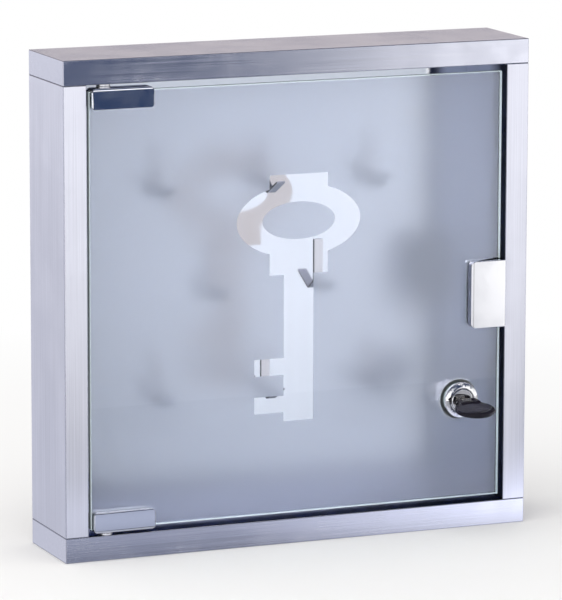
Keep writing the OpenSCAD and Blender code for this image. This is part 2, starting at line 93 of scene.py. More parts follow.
# What metal sees, by direction. Turns are in radians from the front to the right. Heights are
# the upward part of a direction, and depths are its part to the back.
RIGHT_TURNS = (math.radians(22.9), math.radians(25.7))
LEFT_TURNS, LEFT_STRENGTH = (math.radians(3.0), math.radians(17.0)), 1.25

# How both side lights grow from the floor up, and weaken at the horizon and above it
FLOOR_HEIGHTS, FLOOR_SHARES = (-0.225, -0.125), (0.45, 1.6)
HORIZON_HEIGHTS, HORIZON_SHARES = (-0.06, 0.05), (1.0, 0.5)
UPPER_HEIGHTS, UPPER_SHARES = (0.12, 0.32), (1.0, 0.06)

# The mirrored softbox: start, end and the width of its soft rim
SOFTBOX_HEIGHTS = (0.5, 0.74, 0.05)
SOFTBOX_TURNS = (math.radians(11.0), math.radians(34.0), math.radians(3.0))

# Where the front gives way to the wall, the floor to the wall, and the wall to the ceiling
WALL_DEPTHS = (-0.3, 0.3)
WALL_HEIGHTS = (-0.1, 0.1)
CEILING_HEIGHTS, CEILING_SHARE = (0.42, 0.56), 0.85

# What the inside of the cabinet gets: rays that have passed this many surfaces have left it
DEEP_RAYS = 4.5
DAYLIGHT = (1.02, 0.94, 0.965)
DAYLIGHT_HEIGHTS, DAYLIGHT_LOW = (0.05, 0.4), 0.75


# Sizes and colours that a user would change

def length(name, description, default):
    return FloatProperty(
        name=name, description=description, default=default, min=0.0, max=0.1,
        subtype="DISTANCE", unit="LENGTH", precision=5,
    )


def share(name, description, default, high=1.0):
    return FloatProperty(name=name, description=description, default=default, min=0.0, max=high)


def colour(name, description, default):
    return FloatVectorProperty(
        name=name, description=description, default=default, size=3,
        subtype="COLOR", min=0.0, max=2.0,
    )


class CabinetSizes(bpy.types.PropertyGroup):
    """Small sizes of the finished pieces"""

    fold_radius: length("Fold radius", "Radius of the folds of the frame's sheet steel", 0.45 * MM)
    clamp_edge: length("Clamp edge", "Rounding of the hinge clamps' edges", 0.4 * MM)
    clamp_corner: length(
        "Clamp corner", "Corner radius of the hinge clamps as seen from the front", 2.6 * MM,
    )
    handle_edge: length("Handle edge", "Rounding of the handle's edges", 0.35 * MM)
    handle_corner: length(
        "Handle corner", "Corner radius of the handle as seen from the front", 1.5 * MM,
    )
    turned_edge: length("Turned edge", "Rounding of turned and stamped small pieces", 0.12 * MM)
    glass_chamfer: length("Glass chamfer", "Ground chamfer round the glass", 0.35 * MM)
    film_gap: length("Film gap", "Gap left between the glass and the film", 0.02 * MM)
    hook_bend: length("Hook bend", "Bend radius on the key hooks", 1.6 * MM)
    column_pitch: length("Column pitch", "Distance between the hooks of one row", 70 * MM)
    row_pitch: length("Row pitch", "Distance between the rows of hooks", 63.6 * MM)
    long_row: IntProperty(
        name="Long row", description="Hooks in the top and bottom rows", default=3, min=1, max=5,
    )
    head_edge: length("Head edge", "Rounding of the key head's rim", 0.9 * MM)


class CabinetColours(bpy.types.PropertyGroup):
    """Colours and finishes"""

    steel: colour("Steel", "Reflection colour of the brushed steel", (0.78, 0.785, 0.86))
    mirror: colour("Back panel", "Reflection colour of the bright back panel", (0.80, 0.81, 0.85))
    polished: colour("Polished steel", "Reflection colour of the hinge clamps", (0.78, 0.80, 0.85))
    chrome: colour("Chrome", "Reflection colour of the chromed pieces", (0.68, 0.68, 0.70))
    zinc: colour("Zinc", "Reflection colour of the zinc-plated pieces", (0.68, 0.68, 0.70))
    # Painted shade: the key blade's colour is darkened well below that of bright nickel-brass.
    brass: colour("Key blade", "Reflection colour of the nickel-brass key", (0.36, 0.34, 0.30))
    film: colour("Frosting", "Colour of the frosted film", (0.975, 0.98, 1.0))
    glass: colour("Glass", "Colour of the clear glass", (0.985, 0.997, 0.996))
    glass_edge: colour("Glass edge", "Colour of the ground edge of the glass", (0.80, 0.92, 0.95))
    plastic: colour("Key head", "Colour of the moulded key head", (0.012, 0.010, 0.016))
    brushing: share("Brushing", "How strongly the brushed lines show", 0.6)
    frosting: share("Frosting roughness", "How strongly the film scatters", 0.85)


class StudioSettings(bpy.types.PropertyGroup):
    """Light and camera"""

    lens: FloatProperty(
        name="Lens", description="Focal length in millimetres", default=272.14, min=20, max=600,
    )
    level: share("Level", "Brightness of the room's even light", 0.72, 3.0)
    dark: colour(
        "Dark side", "What metal reflects from the unlit side of the studio", (0.025, 0.048, 0.12),
    )
    backdrop: colour(
        "Backdrop", "What metal reflects from behind the cabinet", (0.67, 0.615, 0.625),
    )
    ground: colour(
        "Ground", "What metal reflects from the floor behind the cabinet", (0.92, 0.935, 1.03),
    )
    bright: colour(
        "Bright side", "What metal reflects from the lit side of the studio", (1.58, 1.58, 1.6),
    )
    inside: share(
        "Inner light", "How much of the room's light reaches the inside of the cabinet", 4.35, 6.0,
    )
    key_power: FloatProperty(
        name="Key lamp", description="Power of the overhead lamp in watts", default=22, min=0,
        max=500,
    )
    floor_lift: share("Floor lift", "How far the floor is lifted towards white for the camera", 0.0)


def settings():
    scene = bpy.context.scene
    return scene.cabinet_sizes, scene.cabinet_colours, scene.cabinet_studio


# Node trees

def kept_once(store, name):
    """Builds a material or node group once, and hands out the same one afterwards."""
    def wrap(build):
        return lambda: getattr(bpy.data, store).get(name) or build(name)
    return wrap


def add(tree, kind, inputs=None, **values):
    """A node with its settings, and with each input linked or set."""
    made = tree.nodes.new(kind)
    for key, value in values.items():
        setattr(made, key, value)
    for key, value in (inputs or {}).items():
        if isinstance(value, bpy.types.NodeSocket):
            tree.links.new(value, made.inputs[key])
        else:
            made.inputs[key].default_value = value
    return made


def math_node(tree, operation, a, b=0.0, clamp=False):
    made = add(tree, "ShaderNodeMath", {0: a, 1: b}, operation=operation, use_clamp=clamp)
    return made.outputs[0]


def product(tree, first, *others):
    for other in others:
        first = math_node(tree, "MULTIPLY", first, other)
    return first


def spread(tree, value, low, high, start=0.0, end=1.0):
    """Maps start to end onto low to high, and holds it there."""
    return add(
        tree, "ShaderNodeMapRange",
        {"Value": value, "From Min": start, "From Max": end, "To Min": low, "To Max": high},
    ).outputs["Result"]


def band(tree, value, start, end, soft):
    """One between two values and nothing outside them."""
    rising = spread(tree, value, 0.0, 1.0, start - soft, start)
    falling = spread(tree, value, 1.0, 0.0, end, end + soft)
    return product(tree, rising, falling)


def tint(tree, plain, factor):
    """A colour, linked or plain, times a grey value."""
    if not isinstance(plain, bpy.types.NodeSocket):
        plain = tuple(plain)
    scaled = add(tree, "ShaderNodeVectorMath", {0: plain, "Scale": factor}, operation="SCALE")
    return scaled.outputs[0]


def opaque(plain):
    """A colour with full alpha."""
    return (*plain, 1.0)


def mix_colour(tree, factor, first, second):
    made = add(tree, "ShaderNodeMix", {0: factor, 6: first, 7: second}, data_type="RGBA")
    return made.outputs[2]


def mix_shader(tree, factor, first, second):
    return add(tree, "ShaderNodeMixShader", {
        0: factor, 1: first.outputs[0], 2: second.outputs[0],
    })


def surface(tree, shader):
    """Gives a shader to the material."""
    tree.links.new(shader.outputs[0], tree.nodes["Material Output"].inputs["Surface"])


def axes(tree, vector):
    return add(tree, "ShaderNodeSeparateXYZ", {0: vector}).outputs


def group(name, takes, gives):
    """An empty shader group, its input node and its output node."""
    made = bpy.data.node_groups.new(name, "ShaderNodeTree")
    for label, kind, default in takes:
        socket = made.interface.new_socket(label, in_out="INPUT", socket_type=kind)
        if default is not None:
            socket.default_value = default
    for label, kind in gives:
        made.interface.new_socket(label, in_out="OUTPUT", socket_type=kind)
    return made, made.nodes.new("NodeGroupInput"), made.nodes.new("NodeGroupOutput")


@kept_once("node_groups", "brushed_grain")
def brushed_grain(name):
    """Straight brushed lines: fine ones, with broader bands under them."""
    tree, start, end = group(
        name,
        [("Vector", "NodeSocketVector", None),
         ("Stretch", "NodeSocketVector", (1.0, 1.0, 1.0)),
         ("Strength", "NodeSocketFloat", 0.5)],
        [("Tone", "NodeSocketFloat"), ("Roughness", "NodeSocketFloat"),
         ("Height", "NodeSocketFloat")],
    )
    drawn = add(
        tree, "ShaderNodeVectorMath", {0: start.outputs["Vector"], 1: start.outputs["Stretch"]},
        operation="MULTIPLY",
    ).outputs[0]
    fine = add(tree, "ShaderNodeTexNoise", {
        "Vector": drawn, "Scale": 1.0, "Detail": 3.0, "Roughness": 0.7,
    }).outputs["Fac"]
    wide = add(tree, "ShaderNodeTexNoise", {
        "Vector": drawn, "Scale": 0.16, "Detail": 2.0, "Roughness": 0.5,
    }).outputs["Fac"]
    mixed = add(tree, "ShaderNodeMix", {0: 0.12, 2: fine, 3: wide})
    centred = math_node(tree, "SUBTRACT", mixed.outputs[0], 0.5)
    swing = product(tree, centred, start.outputs["Strength"])
    tree.links.new(math_node(tree, "ADD", swing, 1.0), end.inputs["Tone"])
    tree.links.new(product(tree, swing, 0.5), end.inputs["Roughness"])
    tree.links.new(fine, end.inputs["Height"])
    return tree


@kept_once("node_groups", "handling_marks")
def handling_marks(name):
    """Soft cloudy patches where a surface was touched and wiped."""
    tree, start, end = group(
        name,
        [("Vector", "NodeSocketVector", None), ("Scale", "NodeSocketFloat", 30.0)],
        [("Mask", "NodeSocketFloat")],
    )
    cloud = add(tree, "ShaderNodeTexNoise", {
        "Vector": start.outputs["Vector"], "Scale": start.outputs["Scale"],
        "Detail": 4.0, "Roughness": 0.6, "Distortion": 0.4,
    })
    mask = spread(tree, cloud.outputs["Fac"], 0.0, 1.0, 0.42, 0.68)
    tree.links.new(mask, end.inputs["Mask"])
    return tree


def here(tree):
    """The object's own coordinates."""
    node = tree.nodes.get("here") or add(tree, "ShaderNodeTexCoord", name="here")
    return node.outputs["Object"]


def specks(tree, scale, detail, roughness=0.5):
    """A fine noise over the object."""
    return add(tree, "ShaderNodeTexNoise", {
        "Vector": here(tree), "Scale": scale, "Detail": detail, "Roughness": roughness,
    }).outputs["Fac"]


def marks_mask(tree, scale=30.0):
    """How much each spot was touched."""
    marks = add(tree, "ShaderNodeGroup", node_tree=handling_marks())
    tree.links.new(here(tree), marks.inputs["Vector"])
    marks.inputs["Scale"].default_value = scale
    return marks.outputs["Mask"]


def bumped(tree, shader, strength, distance, height):
    bump = add(tree, "ShaderNodeBump", {
        "Strength": strength, "Distance": distance, "Height": height,
    })
    tree.links.new(bump.outputs[0], shader.inputs["Normal"])


def material(name):
    mat = bpy.data.materials.new(name)
    mat.use_nodes = True
    return mat, mat.node_tree, mat.node_tree.nodes["Principled BSDF"]


def even(scale):
    """The same grain along every axis."""
    return (scale, scale, scale)


def metal(name, plain, roughness, stretch=even(300.0), brushing=0.1, across=None, anisotropy=0.0,
          bump=0.0, marks=0.06):
    """A metal with drawn lines, touched patches and, if it is brushed, a stretched highlight."""
    if name in bpy.data.materials:
        return bpy.data.materials[name]
    mat, tree, shader = material(name)
    grain = add(tree, "ShaderNodeGroup", node_tree=brushed_grain())
    tree.links.new(here(tree), grain.inputs["Vector"])
    grain.inputs["Stretch"].default_value = stretch
    grain.inputs["Strength"].default_value = brushing
    tree.links.new(tint(tree, plain, grain.outputs["Tone"]), shader.inputs["Base Color"])
    worn = product(tree, marks_mask(tree), marks)
    drawn = math_node(tree, "ADD", grain.outputs["Roughness"], roughness)
    rough = math_node(tree, "ADD", drawn, worn, clamp=True)
    tree.links.new(rough, shader.inputs["Roughness"])
    shader.inputs["Metallic"].default_value = 1.0
    if anisotropy:
        shader.inputs["Anisotropic"].default_value = anisotropy
        tangent = add(tree, "ShaderNodeCombineXYZ", dict(enumerate(across)))
        tree.links.new(tangent.outputs[0], shader.inputs["Tangent"])
    if bump:
        bumped(tree, shader, 1.0, bump, grain.outputs["Height"])
    return mat


def moulded(name, plain, roughness, grain=4000.0, depth=0.00001, coat=0.0, swing=0.06,
            specular=0.5):
    """Plastic or rubber with a fine moulded texture."""
    if name in bpy.data.materials:
        return bpy.data.materials[name]
    mat, tree, shader = material(name)
    shader.inputs["Specular IOR Level"].default_value = specular
    speck = specks(tree, grain, 3.0, 0.6)
    tone = spread(tree, speck, 1.0 - swing, 1.0 + swing, 0.3, 0.7)
    tree.links.new(tint(tree, plain, tone), shader.inputs["Base Color"])
    worn = spread(tree, marks_mask(tree, 60.0), roughness, min(roughness + 0.08, 1.0))
    tree.links.new(worn, shader.inputs["Roughness"])
    shader.inputs["Coat Weight"].default_value = coat
    shader.inputs["Coat Roughness"].default_value = 0.05
    bumped(tree, shader, 0.6, depth, speck)
    return mat


# Meshes

def linked(name, data):
    """A new object in the scene's own collection."""
    made = bpy.data.objects.new(name, data)
    bpy.context.scene.collection.objects.link(made)
    return made


def mesh_from(bm, name):
    """Turns a finished bmesh into mesh data."""
    mesh = bpy.data.meshes.new(name)
    bm.to_mesh(mesh)
    bm.free()
    return mesh


def evaluated(made):
    """The mesh that an object's modifiers give."""
    bpy.context.view_layer.update()
    graph = bpy.context.evaluated_depsgraph_get()
    return bpy.data.meshes.new_from_object(made.evaluated_get(graph))


def sharp_cleaned(bm):
    """Merges loose triangles and joins the flat ones into whole faces."""
    bmesh.ops.remove_doubles(bm, verts=bm.verts, dist=MERGE_DISTANCE)
    bmesh.ops.dissolve_limit(
        bm, angle_limit=math.radians(FLAT_DEGREES), verts=bm.verts, edges=bm.edges,
        delimit={"NORMAL"},
    )


def cad_copy(node):
    """A cleaned copy of a CAD node's mesh, open for changes."""
    bm = bmesh.new()
    bm.from_mesh(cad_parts[node].data)
    sharp_cleaned(bm)
    return bm


def piece(name, mesh, body, mats, replaces):
    """Puts a finished mesh into the scene and says what it is to the frame."""
    made = linked(name, mesh)
    made.data.materials.clear()
    for mat in mats:
        made.data.materials.append(mat)
    for face in made.data.polygons:
        face.use_smooth = True
    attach(made, body)
    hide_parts(*replaces)
    return made


def rounded(made, width, segments=3, angle=32.0):
    """Rounds the sharp edges and keeps the flats flat."""
    bevel = made.modifiers.new("rounded_edges", "BEVEL")
    bevel.width = width
    bevel.segments = segments
    bevel.limit_method = "ANGLE"
    bevel.angle_limit = math.radians(angle)
    bevel.use_clamp_overlap = False
    bevel.face_strength_mode = "FSTR_ALL"
    weighted = made.modifiers.new("flat_faces", "WEIGHTED_NORMAL")
    weighted.mode = "FACE_AREA_WITH_ANGLE"
    weighted.weight = 80
    weighted.use_face_influence = True
    return made


def rounded_plate(name, low, high, radius):
    """A plate between two corners whose outline is rounded as seen from the front."""
    right, top = high.x - radius, high.z - radius
    left, bottom = low.x + radius, low.z + radius
    outline = []
    for cx, cz, start in ((right, top, 0), (left, top, 90), (left, bottom, 180),
                          (right, bottom, 270)):
        for k in range(CORNER_STEPS + 1):
            turn = math.radians(start + 90 / CORNER_STEPS * k)
            outline.append((cx + radius * math.cos(turn), cz + radius * math.sin(turn)))
    bm = bmesh.new()
    front = [bm.verts.new((x, low.y, z)) for x, z in outline]
    back = [bm.verts.new((x, high.y, z)) for x, z in outline]
    bm.faces.new(front)
    bm.faces.new(reversed(back))
    for k in range(len(outline)):
        n = (k + 1) % len(outline)
        bm.faces.new((front[n], front[k], back[k], back[n]))
    bmesh.ops.recalc_face_normals(bm, faces=bm.faces)
    return mesh_from(bm, name)


def trimmed(mesh, radius):
    """The mesh with its four front corners cut round."""
    xs, ys, zs = zip(*(v.co for v in mesh.vertices))
    low = Vector((min(xs), min(ys) - MM, min(zs)))
    high = Vector((max(xs), max(ys) + MM, max(zs)))
    plate = rounded_plate("trim_outline", low, high, radius)
    whole, cutter = linked("trim", mesh), linked("trim", plate)
    cut = whole.modifiers.new("trim", "BOOLEAN")
    cut.operation = "INTERSECT"
    cut.object = cutter
    result = evaluated(whole)
    bpy.data.objects.remove(whole)
    bpy.data.objects.remove(cutter)
    bm = bmesh.new()
    bm.from_mesh(result)
    sharp_cleaned(bm)
    bm.to_mesh(result)
    bm.free()
    return result


def refined(node, body, mat, width, segments=3, angle=32.0, corner=0.0):
    """A copy of a CAD node with its edges rounded, which stands for that node."""
    mesh = mesh_from(cad_copy(node), node + "_finished")
    if corner:
        mesh = trimmed(mesh, corner)
    made = piece(node + "_finished", mesh, body, [mat], [node])
    return rounded(made, width, segments, angle)


def settled(made, low, high):
    """Applies the rounding and holds it between two corners."""
    whole = evaluated(made)
    for v in whole.vertices:
        v.co = [min(max(c, a), b) for c, a, b in zip(v.co, low, high)]
    made.modifiers.clear()
    made.data = whole


def dressed(node, mat):
    """A CAD node whose shape stays, with a finished material."""
    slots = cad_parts[node].data.materials
    slots.clear()
    slots.append(mat)


# Finishes

def steel_along(axis):
    """Brushed steel whose lines run along one axis, so that its highlight stretches across it."""
    colours = settings()[1]
    along, over = 7.0, 2200.0
    if axis == "X":
        return metal(
            "brushed_steel_rail", [1.06 * part for part in colours.steel], 0.2,
            (along, over, over), colours.brushing,
            across=(0.0, 0.12, 1.0), anisotropy=0.85, bump=0.000001,
        )
    return metal(
        "brushed_steel_stile", colours.steel, 0.4, (over, over, along), colours.brushing,
        across=(1.0, 1.0, 0.0), anisotropy=0.9, bump=0.000002,
    )


@kept_once("materials", "unbrushed_inner_steel")
def inner_steel(name):
    """The sides of the frame that face the inside: unbrushed steel, dark as painted shade, and
    painted darker still towards the door.
    """
    # Painted shade: a dark bluish base colour for the inner faces.
    mat = metal(name, (0.45, 0.48, 0.60), 0.4, even(300.0), 0.12)
    tree = mat.node_tree
    shader = tree.nodes["Principled BSDF"]
    # Painted shade: the colour darkens from the back towards the door.
    deep = spread(tree, axes(tree, here(tree))["Y"], 0.1, 1.0, -0.022, -0.004)
    plain = shader.inputs["Base Color"].links[0].from_socket
    tree.links.new(tint(tree, plain, deep), shader.inputs["Base Color"])
    # A dark specular tint dims the grazing reflection, as part of the painted shade.
    shader.inputs["Specular Tint"].default_value = opaque((0.3, 0.31, 0.36))
    return mat


def fold_steel():
    """The rolled edges of the frame, smoother than its brushed faces, and darker than them: painted
    shade that draws dark lines along the folds.
    """
    return metal("folded_edge_steel", (0.42, 0.43, 0.50), 0.22, even(300.0), 0.1)


def mirror_steel():
    return metal("bright_panel_steel", settings()[1].mirror, 0.06, (500.0, 500.0, 8.0), 0.05)


def polished_steel():
    return metal("polished_clamp_steel", settings()[1].polished, 0.07, even(900.0), 0.06)


def chrome():
    return metal("chrome_plate", settings()[1].chrome, 0.05, even(900.0), 0.04)


def satin():
    return metal("satin_nickel", (0.92, 0.91, 0.93), 0.38, even(900.0), 0.06)


def zinc():
    return metal("zinc_plate", settings()[1].zinc, 0.28, even(1500.0), 0.25)


def key_brass():
    # The blade's dark colour is painted shade.
    return metal("nickel_brass", settings()[1].brass, 0.24, (2500.0, 60.0, 2500.0), 0.3)


def hook_steel(name, plain):
    return metal(name, plain, 0.3, (1800.0, 60.0, 60.0), 0.25)


def rubber():
    return moulded("clamp_pad_rubber", (0.30, 0.31, 0.33), 0.75)


@kept_once("materials", "float_glass")
def clear_glass(name):
    """Clear glass that lets shadow and diffuse rays straight through."""
    mat, tree, shader = material(name)
    tree.links.new(spread(tree, marks_mask(tree, 14.0), 0.0, 0.012), shader.inputs["Roughness"])
    shader.inputs["Base Color"].default_value = opaque(settings()[1].glass)
    shader.inputs["IOR"].default_value = 1.5
    shader.inputs["Transmission Weight"].default_value = 1.0
    path = add(tree, "ShaderNodeLightPath").outputs
    clear = add(tree, "ShaderNodeBsdfTransparent", {"Color": opaque((0.93, 0.97, 0.96))})
    passing = math_node(tree, "MAXIMUM", path["Is Shadow Ray"], path["Is Diffuse Ray"])
    surface(tree, mix_shader(tree, passing, shader, clear))
    return mat


@kept_once("materials", "ground_glass_edge")
def ground_glass(name):
    """The ground edge and the chamfers of the glass."""
    mat, tree, shader = material(name)
    speck = specks(tree, 1500.0, 2.0)
    tone = spread(tree, speck, 0.9, 1.08, 0.3, 0.7)
    tree.links.new(tint(tree, settings()[1].glass_edge, tone), shader.inputs["Base Color"])
    tree.links.new(spread(tree, speck, 0.18, 0.3), shader.inputs["Roughness"])
    shader.inputs["Transmission Weight"].default_value = 0.15
    return mat


@kept_once("materials", "frosting")
def frosting(name):
    """The film's back, painted darker towards the bottom and the left as painted shade, as in the
    photo.
    """
    colours = settings()[1]
    mat, tree, shader = material(name)
    speck = specks(tree, 2600.0, 3.0, 0.7)
    tone = product(
        tree, spread(tree, speck, 0.985, 1.015, 0.3, 0.7),
        spread(tree, marks_mask(tree, 9.0), 0.985, 1.01),
    )
    # Painted shade: the film's colour is darkened towards the bottom and the left.
    spot = axes(tree, here(tree))
    film_painted_shade = product(
        tree, spread(tree, spot["Z"], 0.87, 1.0, 0.03, 0.25),
        spread(tree, spot["X"], 0.88, 1.0, -0.12, 0.0),
    )
    hue = tint(tree, colours.film, product(tree, tone, film_painted_shade))
    tree.links.new(hue, shader.inputs["Base Color"])
    rough = spread(tree, speck, colours.frosting - 0.02, colours.frosting + 0.02, 0.3, 0.7)
    tree.links.new(rough, shader.inputs["Roughness"])
    shader.inputs["IOR"].default_value = 1.12
    shader.inputs["Transmission Weight"].default_value = 1.0
    cooler = add(
        tree, "ShaderNodeVectorMath", {0: hue, 1: (0.86, 0.92, 1.02)}, operation="MULTIPLY",
    )
    glow = add(tree, "ShaderNodeBsdfTranslucent", {"Color": cooler.outputs[0]})
    surface(tree, mix_shader(tree, 0.5, shader, glow))
    return mat


@kept_once("materials", "film_face")
def film_face(name):
    """The side of the film that lies on the glass."""
    mat, tree, shader = material(name)
    tone = spread(tree, specks(tree, 2600.0, 3.0), 0.98, 1.02)
    tree.links.new(tint(tree, (0.96, 0.97, 1.0), tone), shader.inputs["Base Color"])
    shader.inputs["Roughness"].default_value = 0.6
    clear = add(tree, "ShaderNodeBsdfTransparent", {"Color": opaque((0.97, 0.98, 1.0))})
    surface(tree, mix_shader(tree, 0.96, shader, clear))
    return mat


# Operators

class KEYCAB_OT_stage(bpy.types.Operator):
    """Make the floor, the studio light and the camera"""

    bl_idname = "keycab.stage"
    bl_label = "Stage"

    def execute(self, context):
        studio = settings()[2]
        context.scene.view_settings.view_transform = "Standard"
        self.camera(context.scene, studio)
        self.floor(studio)
        self.room(context.scene, studio)
        self.lamp(studio)
        return {"FINISHED"}

    def camera(self, scene, studio):
        data = bpy.data.cameras.new("photo_camera")
        data.lens = studio.lens
        data.sensor_width = 36.0
        data.clip_start, data.clip_end = 0.1, 30.0
        made = linked("photo_camera", data)
        turn = (Matrix.Rotation(math.radians(-CAMERA_YAW), 4, "Z")
                @ Matrix.Rotation(math.radians(90.0 - CAMERA_PITCH), 4, "X")
                @ Matrix.Rotation(math.radians(CAMERA_ROLL), 4, "Z"))
        made.matrix_world = Matrix.Translation(CAMERA_PLACE) @ turn
        scene.camera = made

    def floor(self, studio):
        """A plain floor, which metal sees as a lit patch with shade near the cabinet."""
        bm = bmesh.new()
        bmesh.ops.create_grid(bm, x_segments=2, y_segments=2, size=1.0)
        for v in bm.verts:
            x, y = v.co.x * FLOOR_WIDTH, v.co.y * FLOOR_DEPTH + FLOOR_BACK
            v.co = Vector((x, y, FLOOR_LEVEL))
        made = linked("studio_floor", mesh_from(bm, "studio_floor"))
        mat, tree, shader = material("studio_floor")
        tree.nodes.remove(shader)
        lit = add(tree, "ShaderNodeBsdfDiffuse", {"Color": opaque((0.86, 0.85, 0.835))})
        white = add(tree, "ShaderNodeEmission", {"Color": WHITE, "Strength": 1.0})
        path = add(tree, "ShaderNodeLightPath").outputs
        far = add(tree, "ShaderNodeVectorMath", {0: here(tree)}, operation="LENGTH")
        lift = spread(tree, far.outputs["Value"], studio.floor_lift, 1.0, 0.16, 0.7)
        seen = product(tree, path["Is Camera Ray"], lift)
        plain = mix_shader(tree, seen, lit, white)
        room = add(tree, "ShaderNodeBsdfTransparent")
        spot = axes(tree, here(tree))
        close = spread(tree, spot["Y"], 1.0, 0.3, -0.13, -0.04)
        away = spread(tree, spot["Y"], 0.1, 1.0, -0.22, -0.15)
        lit_side = product(
            tree, spread(tree, spot["X"], 0.0, 3.0, -0.03, 0.22),
            spread(tree, spot["Y"], 0.0, 1.0, -0.13, -0.08),
        )
        near = product(tree, close, away, math_node(tree, "ADD", lit_side, 1.0))
        patch = add(tree, "ShaderNodeEmission", {
            "Color": opaque((0.95, 1.0, 1.22)), "Strength": near,
        })
        mirrored = mix_shader(tree, 0.5, patch, room)
        surface(tree, mix_shader(tree, path["Is Glossy Ray"], plain, mirrored))
        made.data.materials.append(mat)

    def room(self, scene, studio):
        """Even light, white for the camera, and a studio for metal to reflect."""
        world = bpy.data.worlds.new("studio_room")
        scene.world = world
        world.use_nodes = True
        world.cycles.sampling_method = "NONE"
        tree = world.node_tree
        tree.nodes.clear()
        out = tree.nodes.new("ShaderNodeOutputWorld")
        way = axes(tree, add(tree, "ShaderNodeTexCoord").outputs["Generated"])
        studio_map = mix_colour(
            tree, spread(tree, way["Y"], 0.0, 1.0, *WALL_DEPTHS),
            self.ahead(tree, way, studio), self.behind(tree, way, studio),
        )
        path = add(tree, "ShaderNodeLightPath").outputs
        deep = math_node(tree, "GREATER_THAN", path["Ray Depth"], DEEP_RAYS)
        leaving = product(tree, deep, path["Is Transmission Ray"])
        metal_sees = math_node(tree, "MAXIMUM", path["Is Glossy Ray"], leaving)
        overhead = spread(tree, way["Z"], DAYLIGHT_LOW, studio.inside, *DAYLIGHT_HEIGHTS)
        inner = mix_colour(tree, leaving, studio_map, tint(tree, DAYLIGHT, overhead))
        level = studio.level
        lit = mix_colour(tree, metal_sees, (level, level, level * 1.01, 1.0), inner)
        shallow = math_node(tree, "SUBTRACT", 1.0, deep)
        through = product(tree, path["Is Transmission Ray"], shallow)
        seen = math_node(tree, "MAXIMUM", path["Is Camera Ray"], through)
        shown = mix_colour(tree, seen, lit, WHITE)
        back = add(tree, "ShaderNodeBackground", {"Color": shown, "Strength": 1.0})
        tree.links.new(back.outputs[0], out.inputs["Surface"])

    def ahead(self, tree, way, studio):
        """Before the cabinet: a dark studio with light at both sides and a softbox overhead."""
        front = product(tree, way["Y"], -1.0)
        turn = math_node(tree, "ARCTAN2", way["X"], front)
        right = spread(tree, turn, 0.0, 1.0, *RIGHT_TURNS)
        left = spread(tree, turn, LEFT_STRENGTH, 0.0, *LEFT_TURNS)
        shade = product(
            tree, spread(tree, way["Z"], *UPPER_SHARES, *UPPER_HEIGHTS),
            spread(tree, way["Z"], *FLOOR_SHARES, *FLOOR_HEIGHTS),
            spread(tree, way["Z"], *HORIZON_SHARES, *HORIZON_HEIGHTS),
        )
        sides = product(tree, math_node(tree, "MAXIMUM", right, left), shade)
        softbox = product(
            tree, band(tree, way["Z"], *SOFTBOX_HEIGHTS), band(tree, turn, *SOFTBOX_TURNS),
        )
        lit = math_node(tree, "MAXIMUM", sides, softbox)
        return mix_colour(tree, lit, opaque(studio.dark), opaque(studio.bright))

    def behind(self, tree, way, studio):
        """Behind the cabinet: a floor, a paler wall over it and a dark ceiling."""
        risen = spread(tree, way["Z"], 0.0, 1.0, *WALL_HEIGHTS)
        wall = mix_colour(tree, risen, opaque(studio.ground), opaque(studio.backdrop))
        ceiling = spread(tree, way["Z"], 0.0, CEILING_SHARE, *CEILING_HEIGHTS)
        return mix_colour(tree, ceiling, wall, opaque(studio.dark))

    def lamp(self, studio):
        data = bpy.data.lights.new("overhead_softbox", "AREA")
        data.shape = "SQUARE"
        data.size = LAMP_SIZE
        data.energy = studio.key_power
        made = linked("overhead_softbox", data)
        made.location = LAMP_PLACE
        made.rotation_mode = "QUATERNION"
        made.rotation_quaternion = (-Vector(LAMP_PLACE)).to_track_quat("-Z", "Y")
        made.visible_glossy = False


class KEYCAB_OT_profiles(bpy.types.Operator):
    """Make the rails and stiles of the frame in brushed steel"""

    bl_idname = "keycab.profiles"
    bl_label = "Frame Profiles"

    def execute(self, context):
        width = settings()[0].fold_radius
        for node, axis in (("bottom_rail", "X"), ("top_rail", "X"),
                           ("left_stile", "Z"), ("right_stile", "Z")):
            made = refined(node, "cabinet", steel_along(axis), width)
            # The inward faces take the inner steel, whose dark colour is painted shade.
            made.data.materials.append(inner_steel())
            made.data.materials.append(fold_steel())
            # The rounded folds take the fold steel, whose darker colour paints shade lines along
            # them.
            made.modifiers["rounded_edges"].material = 2
            for face in made.data.polygons:
                if axis == "Z":
                    inward = -face.normal.x * face.center.x
                else:
                    inward = face.normal.z * (MID_HEIGHT - face.center.z)
                if inward > INNER_REACH:
                    face.material_index = 1
            settled(made, *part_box(node))
        return {"FINISHED"}


class KEYCAB_OT_back_panel(bpy.types.Operator):
    """Make the bright back panel"""

    bl_idname = "keycab.back_panel"
    bl_label = "Back Panel"

    def execute(self, context):
        refined("back_panel", "cabinet", mirror_steel(), PANEL_EDGE)
        return {"FINISHED"}


